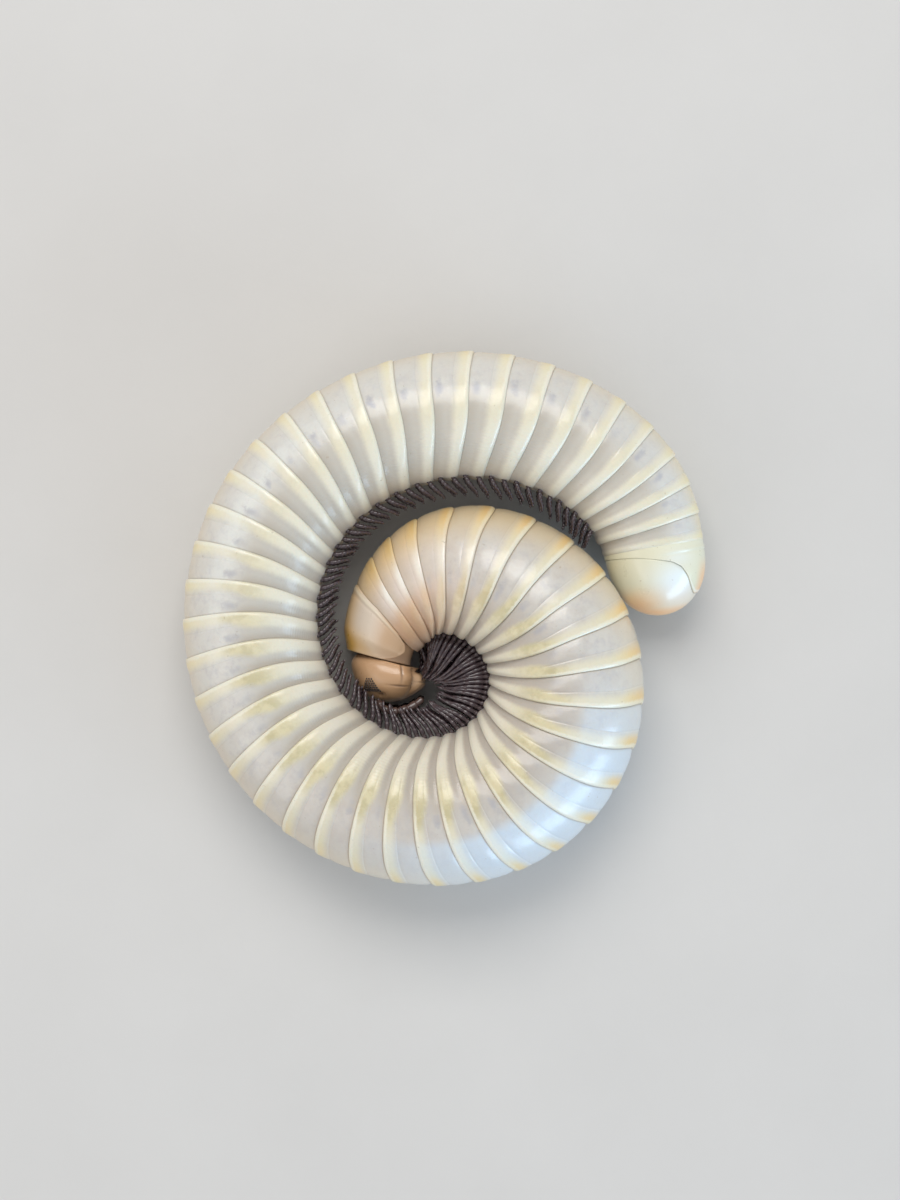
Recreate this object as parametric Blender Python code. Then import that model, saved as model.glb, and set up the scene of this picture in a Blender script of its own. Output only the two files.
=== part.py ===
"""Yellow banded oak millipede, curled flat on its right side, at life size.

Metres, +Z up. The floor is Z = 0 and the origin lies on it, under the middle of the animal's bounding box.
The body is one tube that follows a spiral, clockwise from above from the head, inside, to the tail, outside.
Its back is the outer side of the spiral, its legs are on the inner side, and its left flank faces up.
"""

import math

import bmesh
import bpy
import numpy as np
from mathutils import Matrix, Vector

MM = 0.001

# Driving stations from neck to tail, lengths in mm and angles in degrees:
# turn round the spiral's centre, distance of the body's axis from it, body diameter, ring pitch over diameter,
# lean of the rings' planes towards the tail, roll that lifts the mid back, reach of the legs off the belly and
# their sweep along it towards the tail
STATIONS = (
    (0, 5.13, 4.85, 0.289, 10, 12, 0.6, -0.4),
    (40, 5.58, 6.26, 0.279, 11, 14, 0.65, -0.5),
    (80, 6.23, 8.49, 0.287, 11, 15, 0.7, -0.6),
    (120, 6.48, 9.80, 0.303, 9, 15, 0.95, -0.3),
    (160, 7.01, 10.39, 0.296, 5, 15, 1.4, 0.5),
    (200, 7.87, 10.69, 0.293, 4, 14, 1.7, 1.4),
    (240, 8.96, 10.68, 0.281, 3, 11, 1.5, 2),
    (280, 10.06, 10.17, 0.283, 1, 7, 0.72, 2.4),
    (320, 11.52, 9.65, 0.286, 0, 3, 0.75, 2.3),
    (360, 13.52, 9.35, 0.296, 0, 0, 0.95, 2.2),
    (400, 15.63, 9.16, 0.305, 0, -3, 0.9, 2.2),
    (440, 16.83, 8.86, 0.321, 0, -4, 0.9, 2.2),
    (475, 17.25, 8.54, 0.326, 0, -5, 0.7, 2.2),
    (500, 16.60, 7.64, 0.29, 0, -5, 0.5, 2.2),
    (520, 14.66, 6.05, 0.258, 0, -5, 0.5, 2.2),
    (532, 13.28, 5.21, 0.249, 0, -5, 0.5, 2.2),
)
SPIRAL_CENTRE = (0.57, -3.23)
START_DIRECTION = 180.0
GRID_STEP = 0.25

# Rings: number, turn of the collum's hind edge and of the last ring's hind edge, rings in one named length
RING_COUNT = 49
COLLUM_EDGE = 42.3
LAST_EDGE = 509.8
RINGS_PER_LENGTH = 6
SIDES = 24
# Section loops of a ring: place from its front edge to its hind edge, height on the back and height on the belly,
# over half the body diameter; the back's height gives way to the belly's from one share of the half turn to another
RING_PROFILE = ((0.0, 0.963, 0.926), (0.42, 0.985, 0.972), (0.7, 0.993, 1.0), (0.96, 0.998, 0.966))
BELLY_FROM = 0.30
BELLY_TO = 0.72
# How far the rings' edges bow towards the tail, in ring lengths: ring, then at each angle from the mid back
BOW_ANGLES = (0, 35, 70, 100, 130, 160)
RING_BOW = (
    (1, 0.05, -0.05, -0.15, -0.45, -0.75, -0.75),
    (2, 0.20, 0.05, -0.10, -0.15, -0.30, -0.30),
    (3, 0.10, 0.00, -0.05, 0.10, 0.40, 0.50),
    (5, 0.15, 0.05, 0.15, 0.50, 1.00, 1.20),
    (8, 0.25, 0.25, 0.35, 0.65, 0.85, 0.95),
    (16, 0.30, 0.55, 0.90, 1.15, 1.25, 0.95),
    (21, 0.30, 0.50, 0.75, 0.90, 0.80, 0.40),
    (28, 0.30, 0.35, 0.50, 0.60, 0.50, 0.25),
    (34, 0.20, 0.25, 0.25, 0.20, 0.00, -0.25),
    (39, 0.10, 0.05, -0.05, -0.15, -0.35, -0.55),
    (45, 0.10, 0.10, 0.15, 0.15, 0.05, -0.10),
    (49, 0.00, 0.00, 0.00, 0.00, 0.00, 0.00),
)
GAP = 0.4
FLAT_DEPTH = 0.12

# Legs: spacing along the belly, thickness at root and tip, last ring that bears legs
LEG_SPACING = 1.22
LEG_ROOT = 0.56
LEG_TIP = 0.3
LAST_LEG_RING = 47
# Points along a leg: part of its reach, part of its sweep, angle from the mid belly
LEG_PATH = ((-0.45, 0.0, 9), (0.45, 0.0, 11), (0.9, 0.15, 15), (1.0, 0.45, 20), (0.95, 0.75, 26), (0.8, 1.0, 31))

# Collum: turn of its front edge, share of its length before it bows, radius of the neck under it and thickness of
# its edge, both over half the body diameter, and its outline as place from front to hind edge and angle from the
# mid back down to its lower edge
COLLUM_FRONT = 10.0
COLLUM_STRAIGHT = 0.15
NECK_FACTOR = 0.87
COLLUM_EDGE_STEP = 0.06
COLLUM_OUTLINE = ((0.0, 98), (0.3, 116), (0.75, 122), (1.0, 112))
COLLUM_SIDES = 36
COLLUM_LOOPS = 9

# Head, in mm: half sizes from nape to brow, from crown to mouth and from cheek to cheek, and its place before the
# collum: bend of the neck, distance ahead and drop towards the belly; its loops' angles from the brow
HEAD_HALF = (1.85, 2.35, 2.5)
HEAD_FLEX = 12.0
HEAD_LEAD = 1.05
HEAD_DROP = 0.9
# Swellings and hollows of the head: height, angle from the brow and its width, angle from the crown and its width
HEAD_FORMS = (
    (0.42, 94, 28, 117, 20),
    (0.34, 76, 20, 180, 30),
    (-0.50, 103, 8, 180, 42),
    (0.30, 124, 14, 180, 36),
    (-0.34, 84, 26, 144, 9),
    (-0.16, 45, 11, 75, 14),
    (-0.10, 60, 40, 0, 9),
)
HEAD_TILTS = (8, 20, 31, 42, 53, 63, 72, 80, 88, 95, 102, 109, 117, 127, 139, 153, 167)
HEAD_SIDES = 28
EYE_PLACE = (66.0, 58.0)
EYE_HALF = (0.6, 0.46, 0.17)
EYE_GAP = 0.33
# Points of an antenna from its socket: towards the brow, the crown and its own side, and its thickness there
ANTENNA_PATH = (
    (1.72, 0.5, 1.72, 0.5),
    (2.05, 0.35, 1.95, 0.54),
    (2.33, -0.15, 2.05, 0.58),
    (2.35, -0.8, 1.95, 0.6),
    (2.15, -1.45, 1.8, 0.62),
    (1.8, -2.05, 1.65, 0.6),
    (1.4, -2.5, 1.55, 0.42),
)
ANTENNA_WAIST = 0.82
ANTENNA_SIDES = 8

# Tail cap: length past the last ring, fullness of its curve, and the line where the telson's rim crosses it,
# as distances towards the back and past the last ring
TAIL_LENGTH = 4.6
TAIL_FULLNESS = 2.5
RIM_LINE = (
    (-6.0, 0.2),
    (-3.2, 0.2),
    (-1.56, 0.4),
    (-0.45, 0.69),
    (0.8, 1.06),
    (1.45, 1.5),
    (1.8, 2.2),
    (1.95, 3.0),
    (2.1, 3.45),
    (6.0, 3.6),
)
VALVE_INSET = 0.97


def natural_cubic(xs, ys):
    """Returns a function that runs smoothly through the points."""
    xs = np.array(xs, float)
    ys = np.array(ys, float)
    step = np.diff(xs)
    slope = np.diff(ys) / step
    matrix = np.eye(len(xs))
    right = np.zeros(len(xs))
    for i in range(1, len(xs) - 1):
        matrix[i, i - 1 : i + 2] = step[i - 1], 2 * (step[i - 1] + step[i]), step[i]
        right[i] = 6 * (slope[i] - slope[i - 1])
    bend = np.linalg.solve(matrix, right)

    def value(x):
        i = np.clip(np.searchsorted(xs, x) - 1, 0, len(xs) - 2)
        t = x - xs[i]
        curve = (bend[i + 1] - bend[i]) / (6 * step[i])
        start = slope[i] - step[i] * (2 * bend[i] + bend[i + 1]) / 6
        return ys[i] + t * (start + t * (bend[i] / 2 + t * curve))

    return value


class Body:
    """The body's course, from the stations: lines of the axis, back and belly, and places in a section."""

    def __init__(self):
        columns = list(zip(*STATIONS))
        turns = columns[0]
        distance, diameter, pitch, lean, roll, reach, sweep = [natural_cubic(turns, c) for c in columns[1:]]
        self.turn = np.arange(turns[0], turns[-1] + GRID_STEP, GRID_STEP)
        direction = np.radians(START_DIRECTION - self.turn)
        axis = distance(self.turn)[:, None] * np.stack([np.cos(direction), np.sin(direction)], 1)
        axis += np.array(SPIRAL_CENTRE)
        tail = np.gradient(axis, axis=0)
        tail /= np.linalg.norm(tail, axis=1)[:, None]
        square = np.stack([-tail[:, 1], tail[:, 0]], 1)
        self.radius = diameter(self.turn) / 2
        back_line = axis + square * self.radius[:, None]
        angle = np.unwrap(np.arctan2(square[:, 1], square[:, 0])) - np.radians(lean(self.turn))
        self.back = np.stack([np.cos(angle), np.sin(angle)], 1)
        self.centre = back_line - self.back * self.radius[:, None]
        self.roll = roll(self.turn)
        self.reach = reach(self.turn)
        self.sweep = sweep(self.turn)
        belly_line = self.centre - self.back * self.radius[:, None]
        self.belly_length = self.run(belly_line)
        steps = np.diff(self.run(back_line)) / (diameter(self.turn) * pitch(self.turn))[1:]
        count = np.concatenate([[0], np.cumsum(steps)])
        ends = np.interp((COLLUM_EDGE, LAST_EDGE), self.turn, count)
        self.edges = np.interp(np.linspace(*ends, RING_COUNT), count, self.turn)
        rings, *columns = zip(*RING_BOW)
        self.bows = [natural_cubic(rings, column) for column in columns]
        near, far = BOW_ANGLES[1:3], BOW_ANGLES[-2:]
        knots = [-a for a in near[::-1]] + list(BOW_ANGLES) + [360 - a for a in far[::-1]]
        sources = (2, 1, 0, 1, 2, 3, 4, 5, 5, 4)
        self.shares = [natural_cubic(knots, [float(s == j) for s in sources]) for j in range(len(BOW_ANGLES))]
        self.mean_shares = [float(np.mean(share(np.arange(180)))) for share in self.shares]

    @staticmethod
    def run(line):
        """Length along a line, at each of its points."""
        return np.concatenate([[0], np.cumsum(np.linalg.norm(np.diff(line, axis=0), axis=1))])

    def at(self, values, turn):
        if values.ndim == 1:
            return float(np.interp(turn, self.turn, values))
        return Vector([np.interp(turn, self.turn, column) for column in values.T] + [0.0])

    def frame(self, turn):
        """Centre of the section, its directions to the back and to the tail, and its radius."""
        radius = self.at(self.radius, turn)
        back = self.at(self.back, turn).normalized()
        centre = self.at(self.centre, turn)
        centre.z = radius - FLAT_DEPTH
        return centre, back, Vector((back.y, -back.x, 0)), radius

    def place(self, turn, angle, height):
        """A point over the skin: angle from the mid back over the left flank, height off the skin."""
        centre, back, _, radius = self.frame(turn)
        phi = math.radians(angle + self.at(self.roll, turn))
        return centre + (radius + height) * (math.cos(phi) * back + math.sin(phi) * Vector((0, 0, 1)))

    def bow(self, place, angle, factor=1.0):
        """Shift towards the tail at a place counted in rings, in ring lengths; it evens out towards the axis."""
        off = abs((angle + 180) % 360 - 180)
        place = min(max(place, 1), RING_COUNT)
        heights = [float(bow(place)) for bow in self.bows]
        mean = sum(h * share for h, share in zip(heights, self.mean_shares))
        here = sum(h * float(share(off)) for h, share in zip(heights, self.shares))
        return mean + (here - mean) * factor

    def ring_turn(self, place, angle, factor=1.0):
        """Turn of a place counted in rings; the collum's hind edge is at 1."""
        place += self.bow(place, angle, factor)
        first, last = self.edges[1] - self.edges[0], self.edges[-1] - self.edges[-2]
        turn = float(np.interp(place, np.arange(RING_COUNT) + 1.0, self.edges))
        return turn + first * min(place - 1, 0) + last * max(place - RING_COUNT, 0)

    def along_belly(self, turn, distance):
        """Turn that lies a distance further along the belly."""
        return float(np.interp(self.at(self.belly_length, turn) + distance, self.belly_length, self.turn))


BODY = Body()


def smooth(x):
    """Eases from 0 at x = 0 to 1 at x = 1."""
    x = min(max(x, 0.0), 1.0)
    return x * x * (3 - 2 * x)


def face_out(mesh):
    """Turns the faces of a closed mesh outwards."""
    bmesh.ops.recalc_face_normals(mesh, faces=mesh.faces)
    if mesh.calc_volume(signed=True) < 0:
        bmesh.ops.reverse_faces(mesh, faces=mesh.faces)


def round_point(turn, phi, size, shift=0.0):
    """A point round the axis at an angle from the back over the top, moved to the tail; nothing is below the floor."""
    centre, back, tail, _ = BODY.frame(turn)
    point = centre + size * (math.cos(phi) * back + math.sin(phi) * Vector((0, 0, 1))) + shift * tail
    point.z = max(point.z, 0.0)
    return point


def section(place, dorsal, ventral, shift=0.0):
    """One loop of points round the body at a place counted in rings, after the point on the axis."""
    axis = BODY.ring_turn(place, 0, 0.0)
    roll = BODY.at(BODY.roll, axis)
    points = [round_point(axis, 0.0, 0.0, shift)]
    for k in range(SIDES):
        phi = math.tau * (k + 0.5) / SIDES
        angle = math.degrees(phi) - roll
        flank = abs((angle + 180) % 360 - 180) / 180
        factor = dorsal + (ventral - dorsal) * smooth((flank - BELLY_FROM) / (BELLY_TO - BELLY_FROM))
        turn = BODY.ring_turn(place, angle, factor)
        radius = BODY.at(BODY.radius, turn) / math.cos(math.pi / SIDES)
        points.append(round_point(turn, phi, radius * factor, shift))
    return points


def loft(loops, cones=False):
    """A closed mesh through loops of equal count, with flat ends, or cones where loops start with an axis point."""
    mesh = bmesh.new()
    rows = [[mesh.verts.new(p * MM) for p in loop[cones:]] for loop in loops]
    count = len(rows[0])
    for low, high in zip(rows, rows[1:]):
        for k in range(count):
            n = (k + 1) % count
            mesh.faces.new((low[k], low[n], high[n], high[k]))
    for row, loop in ((rows[0][::-1], loops[0]), (rows[-1], loops[-1])):
        if cones:
            tip = mesh.verts.new(loop[0] * MM)
            for k in range(count):
                mesh.faces.new((row[k], row[(k + 1) % count], tip))
        else:
            mesh.faces.new(row)
    face_out(mesh)
    return mesh


def material(name, colour, roughness):
    found = bpy.data.materials.get(name)
    if found:
        return found
    made = bpy.data.materials.new(name)
    made.use_nodes = True
    shader = made.node_tree.nodes["Principled BSDF"]
    shader.inputs["Base Color"].default_value = (*colour, 1.0)
    shader.inputs["Roughness"].default_value = roughness
    shader.inputs["Metallic"].default_value = 0.0
    return made


def add_object(name, mesh, finish):
    data = bpy.data.meshes.new(name)
    mesh.to_mesh(data)
    mesh.free()
    data.materials.append(material(*finish))
    data.shade_smooth()
    thing = bpy.data.objects.new(name, data)
    bpy.context.scene.collection.objects.link(thing)
    return thing


RING_SHELL = ("ring_shell", (0.52, 0.47, 0.40), 0.3)
LEG_SHELL = ("leg_shell", (0.05, 0.03, 0.03), 0.3)
HEAD_SHELL = ("head_shell", (0.55, 0.30, 0.10), 0.35)
COLLAR_SHELL = ("collar_shell", (0.60, 0.38, 0.16), 0.3)
FEELER_SHELL = ("feeler_shell", (0.08, 0.04, 0.035), 0.35)
TAIL_SHELL = ("tail_shell", (0.60, 0.45, 0.22), 0.25)
EYE_LENS = ("eye_lens", (0.02, 0.015, 0.015), 0.15)


def largest_shell(thing):
    """Keeps only the largest closed surface of an object."""
    mesh = bmesh.new()
    mesh.from_mesh(thing.data)
    left = set(mesh.faces)
    shells = []
    while left:
        stack = [left.pop()]
        shell = set(stack)
        while stack:
            for edge in stack.pop().edges:
                for face in edge.link_faces:
                    if face in left:
                        left.discard(face)
                        shell.add(face)
                        stack.append(face)
        shells.append(shell)
    keep = max(shells, key=lambda shell: sum(face.calc_area() for face in shell))
    drop = [face for face in mesh.faces if face not in keep]
    bmesh.ops.delete(mesh, geom=drop, context="FACES")
    bmesh.ops.triangulate(mesh, faces=mesh.faces)
    mesh.to_mesh(thing.data)
    mesh.free()


def fuse(thing, pieces, solver="EXACT", operation="UNION"):
    """Joins closed pieces to an object, or cuts them from it, and removes them."""
    group = bpy.data.collections.new(thing.name + "_pieces")
    for i, mesh in enumerate(pieces):
        data = bpy.data.meshes.new(f"{thing.name}_piece_{i}")
        mesh.to_mesh(data)
        mesh.free()
        group.objects.link(bpy.data.objects.new(data.name, data))
    cut = thing.modifiers.new("fuse", "BOOLEAN")
    cut.operand_type = "COLLECTION"
    cut.collection = group
    cut.operation = operation
    cut.solver = solver
    graph = bpy.context.evaluated_depsgraph_get()
    result = bpy.data.meshes.new_from_object(thing.evaluated_get(graph))
    thing.modifiers.clear()
    thing.data = result
    for piece in list(group.objects):
        bpy.data.objects.remove(piece)
    bpy.data.collections.remove(group)
    largest_shell(thing)
    thing.data.shade_smooth()


def tube(points, radii, sides=4):
    """A tapered tube along a few points."""
    loops = []
    across = None
    for i, point in enumerate(points):
        ahead = (points[min(i + 1, len(points) - 1)] - points[max(i - 1, 0)]).normalized()
        if across is None:
            across = ahead.orthogonal()
        across = (across - ahead * across.dot(ahead)).normalized()
        beside = ahead.cross(across)
        loop = []
        for k in range(sides):
            a = math.tau * k / sides
            loop.append(point + radii[i] * (math.cos(a) * across + math.sin(a) * beside))
        loops.append(loop)
    return loft(loops)


def leg(turn, side):
    """One leg of a pair: off the belly, then swept along it and out towards its own flank."""
    reach, sweep = BODY.at(BODY.reach, turn), BODY.at(BODY.sweep, turn)
    points = []
    for rise, along, angle in LEG_PATH:
        here = BODY.along_belly(turn, along * sweep)
        points.append(BODY.place(here, 180 - side * angle, rise * (reach if rise > 0 else 1.0)))
    step = (LEG_ROOT - LEG_TIP) / (len(points) - 1)
    return tube(points, [(LEG_ROOT - step * i) / 2 for i in range(len(points))])


def trunk_length(first, last):
    """A length of the trunk, rings first to last, with the legs that grow from it."""
    loops = []
    for ring in range(first, last + 1):
        for part, dorsal, ventral in RING_PROFILE:
            if part == 0.0 and ring == first:
                loops.append(section(ring - 1, dorsal, ventral, GAP / 2))
            elif part > 0.9 and ring == last:
                loops.append(section(ring, dorsal, ventral, -GAP / 2))
            else:
                loops.append(section(ring - 1 + part, dorsal, ventral))
    name = f"trunk_rings_{first:02d}_{last:02d}"
    thing = add_object(name, loft(loops, cones=True), RING_SHELL)
    start, end = (BODY.ring_turn(ring, 180) for ring in (first - 1, min(last, LAST_LEG_RING)))
    span = BODY.at(BODY.belly_length, end) - BODY.at(BODY.belly_length, start)
    pairs = max(1, round(span / LEG_SPACING))
    pieces = []
    for k in range(pairs):
        turn = BODY.along_belly(start, span * (k + 0.5) / pairs)
        pieces += [leg(turn, 1), leg(turn, -1)]
    fuse(thing, pieces)
    return thing


def collum():
    """The first ring: a collar plate over back and flanks, on the neck, with a rounded lobe low on each side."""
    parts, angles = zip(*COLLUM_OUTLINE)
    loops = []
    for i in range(COLLUM_LOOPS):
        part = i / (COLLUM_LOOPS - 1)
        flat_turn = COLLUM_FRONT + part * (COLLUM_EDGE - COLLUM_FRONT)
        bowed = smooth((part - COLLUM_STRAIGHT) / (1 - COLLUM_STRAIGHT)) * (BODY.edges[1] - BODY.edges[0])
        shift = -GAP / 2 if i == COLLUM_LOOPS - 1 else 0.0
        lower = float(np.interp(part, parts, angles))
        plate = 1.0 - COLLUM_EDGE_STEP * (1 - smooth(part / 0.25))
        loop = [round_point(flat_turn + bowed * BODY.bow(1, 0, 0.0), 0.0, 0.0, shift)]
        for k in range(COLLUM_SIDES):
            phi = math.tau * (k + 0.5) / COLLUM_SIDES
            around = math.degrees(phi) - BODY.at(BODY.roll, flat_turn)
            cover = smooth((lower - abs((around + 180) % 360 - 180)) / 12 + 0.5)
            factor = NECK_FACTOR + (plate - NECK_FACTOR) * cover
            turn = flat_turn + bowed * BODY.bow(1, around, factor)
            loop.append(round_point(turn, phi, BODY.at(BODY.radius, turn) * factor, shift))
        loops.append(loop)
    return add_object("collum", loft(loops, cones=True), COLLAR_SHELL)


def head_frame():
    """Centre of the head, and its directions to the brow, the crown and the left."""
    centre, back, tail, _ = BODY.frame(COLLUM_FRONT)
    turn = Matrix.Rotation(math.radians(HEAD_FLEX), 3, "Z")
    return centre - tail * HEAD_LEAD - back * HEAD_DROP, turn @ -tail, turn @ back, Vector((0, 0, 1))


def head_point(fore, crown, left):
    centre, ahead, up, side = head_frame()
    return centre + ahead * fore + up * crown + side * left


def box(centre, directions, low, high):
    """A box between two corners, given in a frame of its own."""
    mesh = bmesh.new()
    bmesh.ops.create_cube(mesh, size=1)
    for vert in mesh.verts:
        place = [low[i] if vert.co[i] < 0 else high[i] for i in range(3)]
        vert.co = (centre + sum((d * v for d, v in zip(directions, place)), Vector())) * MM
    face_out(mesh)
    return mesh


def head_skin(tilt, around):
    """Point of the head in its own frame: angles from the brow and, round it, from the crown over the left cheek."""
    a, b = math.radians(tilt), math.radians(around)
    lift = 1.0
    for height, at_tilt, wide_tilt, at_around, wide_around in HEAD_FORMS:
        off = abs((around + 180) % 360 - 180) - at_around
        lift += height / HEAD_HALF[2] * math.exp(-(((tilt - at_tilt) / wide_tilt) ** 2) - (off / wide_around) ** 2)
    fore = HEAD_HALF[0] * math.cos(a)
    crown = HEAD_HALF[1] * math.sin(a) * math.cos(b)
    left = HEAD_HALF[2] * math.sin(a) * math.sin(b)
    return Vector((fore, crown, left)) * lift


def head():
    """The head capsule, cut flat where it meets the collum, with a socket for each eye."""
    turns = [360 * k / HEAD_SIDES for k in range(HEAD_SIDES)]
    loops = [[head_point(*head_skin(tilt, around)) for around in turns] for tilt in HEAD_TILTS]
    thing = add_object("head", loft(loops), HEAD_SHELL)
    centre, back, tail, _ = BODY.frame(COLLUM_FRONT)
    neck = box(centre, (tail, back, Vector((0, 0, 1))), (-GAP, -10, -10), (10, 10, 10))
    for piece in (neck, eye_body(1, EYE_GAP), eye_body(-1, EYE_GAP)):
        fuse(thing, [piece], operation="DIFFERENCE")


def eye_body(side, grow=0.0):
    """The patch of ocelli on one side of the head, as one flattened lens."""
    tilt, around = EYE_PLACE
    place, behind, below = (Vector(head_skin(tilt + i, around + j)) for i, j in ((0, 0), (4, 0), (0, 4)))
    along = (behind - place).normalized()
    out = along.cross(below - place).normalized()
    out *= 1 if out.dot(place) > 0 else -1
    across = out.cross(along)
    mesh = bmesh.new()
    bmesh.ops.create_uvsphere(mesh, u_segments=12, v_segments=7, radius=1)
    half = [h + grow for h in EYE_HALF]
    for vert in mesh.verts:
        x, y, z = vert.co
        spot = place + along * x * half[0] + across * y * half[1] + out * z * half[2]
        vert.co = head_point(spot.x, spot.y, side * spot.z) * MM
    face_out(mesh)
    return mesh


def antenna(name, side):
    """A feeler of seven joints, each narrow at its root, folded over the face."""
    points, thick = [], []
    for low, high in zip(ANTENNA_PATH, ANTENNA_PATH[1:]):
        for part in (0.0, 0.62):
            fore, crown, left, wide = (a + part * (b - a) for a, b in zip(low, high))
            points.append(head_point(fore, crown, side * left))
            thick.append(wide / 2 * (ANTENNA_WAIST if part == 0.0 else 1.0))
    fore, crown, left, wide = ANTENNA_PATH[-1]
    points.append(head_point(fore, crown, side * left))
    thick.append(wide / 2)
    add_object(name, tube(points, thick, ANTENNA_SIDES), FEELER_SHELL)


def tail_frame():
    centre, back, tail, radius = BODY.frame(LAST_EDGE)
    return centre, (back, tail, Vector((0, 0, 1))), radius


def tail_cap(inset):
    """The rounded end of the body, whole."""
    centre, (back, tail, up), radius = tail_frame()
    loops = []
    for i in range(10):
        part = math.sin(math.pi / 2 * i / 9.4)
        past = max(GAP / 2, TAIL_LENGTH * part)
        size = radius * inset * (1 - part**TAIL_FULLNESS) ** 0.5
        loop = []
        for k in range(SIDES):
            phi = math.tau * (k + 0.5) / SIDES
            point = centre + tail * past + size * (math.cos(phi) * back + math.sin(phi) * up)
            point.z = max(point.z, 0.0)
            loop.append(point)
        loops.append(loop)
    return loft(loops)


def prism(outline, low, high):
    """A block over an outline in the tail's frame, from one height to another."""
    centre, (back, tail, up), _ = tail_frame()
    loops = [[centre + back * b + tail * s + up * h for b, s in outline] for h in (low, high)]
    return loft(loops)


def telson():
    """The tail ring, whose upper edge runs on over the valves as a short blunt point."""
    thing = add_object("telson", tail_cap(1.0), TAIL_SHELL)
    outline = RIM_LINE + ((6.0, -3.0), (-6.0, -3.0))
    fuse(thing, [prism(outline, -9, 9)], operation="INTERSECT")


def anal_valve(name, side):
    thing = add_object(name, tail_cap(VALVE_INSET), TAIL_SHELL)
    rim = []
    for i, (b, s) in enumerate(RIM_LINE):
        before, after = RIM_LINE[max(i - 1, 0)], RIM_LINE[min(i + 1, len(RIM_LINE) - 1)]
        ahead = Vector((after[0] - before[0], after[1] - before[1])).normalized()
        rim.append((b - ahead.y * GAP, s + ahead.x * GAP))
    outline = rim + [(6.0, 9.0), (-6.0, 9.0)]
    heights = sorted((side * GAP / 2, side * 9))
    fuse(thing, [prism(outline, *heights)], operation="INTERSECT")


def build():
    for thing in list(bpy.data.objects):
        bpy.data.objects.remove(thing)
    head()
    for side, name in ((1, "left"), (-1, "right")):
        add_object("eye_" + name, eye_body(side), EYE_LENS)
        antenna("antenna_" + name, side)
        anal_valve("anal_valve_" + name, side)
    collum()
    telson()
    for first in range(2, RING_COUNT + 1, RINGS_PER_LENGTH):
        trunk_length(first, first + RINGS_PER_LENGTH - 1)


build()
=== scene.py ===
"""The look of the curled millipede: ring shells, collum, head, feelers, legs and tail, on a pale floor.

Lengths in the tables are in mm, angles in degrees. Lights, floor and the lengths in shaders are in metres.
The body's course repeats the stations of the solids.
"""

import math
import random

import bmesh
import bpy
import numpy as np
from mathutils import Matrix, Vector


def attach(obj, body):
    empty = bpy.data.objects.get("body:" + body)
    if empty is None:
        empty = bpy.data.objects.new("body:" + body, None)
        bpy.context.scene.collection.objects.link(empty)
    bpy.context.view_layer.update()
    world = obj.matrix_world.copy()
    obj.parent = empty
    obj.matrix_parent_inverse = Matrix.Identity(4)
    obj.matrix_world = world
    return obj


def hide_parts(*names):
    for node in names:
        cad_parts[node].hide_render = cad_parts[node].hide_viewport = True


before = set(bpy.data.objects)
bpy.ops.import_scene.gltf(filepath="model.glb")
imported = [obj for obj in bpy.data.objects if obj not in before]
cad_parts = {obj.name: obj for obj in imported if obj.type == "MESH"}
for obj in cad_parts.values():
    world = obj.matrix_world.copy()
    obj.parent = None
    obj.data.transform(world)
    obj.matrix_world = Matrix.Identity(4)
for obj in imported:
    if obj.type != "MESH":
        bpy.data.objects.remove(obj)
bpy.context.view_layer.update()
MM = 0.001

# Stations from head to tail: turn, distance of the axis, diameter, ring pitch over diameter, lean, roll
STATIONS = (
    (0, 5.13, 4.85, 0.289, 10, 12),
    (40, 5.58, 6.26, 0.279, 11, 14),
    (80, 6.23, 8.49, 0.287, 11, 15),
    (120, 6.48, 9.80, 0.303, 9, 15),
    (160, 7.01, 10.39, 0.296, 5, 15),
    (200, 7.87, 10.69, 0.293, 4, 14),
    (240, 8.96, 10.68, 0.281, 3, 11),
    (280, 10.06, 10.17, 0.283, 1, 7),
    (320, 11.52, 9.65, 0.286, 0, 3),
    (360, 13.52, 9.35, 0.296, 0, 0),
    (400, 15.63, 9.16, 0.305, 0, -3),
    (440, 16.83, 8.86, 0.321, 0, -4),
    (475, 17.25, 8.54, 0.326, 0, -5),
    (500, 16.60, 7.64, 0.29, 0, -5),
    (520, 14.66, 6.05, 0.258, 0, -5),
    (532, 13.28, 5.21, 0.249, 0, -5),
)
SPIRAL_CENTRE = (0.57, -3.23)
# Direction of turn 0 from the centre, from where the turns run clockwise
START_DIRECTION = 180.0
GRID_STEP = 0.25
# How much the side on the floor is flattened
FLAT_DEPTH = 0.12

RING_COUNT = 49
# Turns where the hind edges of the collum and of the last ring lie
COLLUM_EDGE = 42.3
LAST_EDGE = 509.8
RINGS_PER_LENGTH = 6
LAST_LEG_RING = 47
SHELL_SIDES = 200

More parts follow.
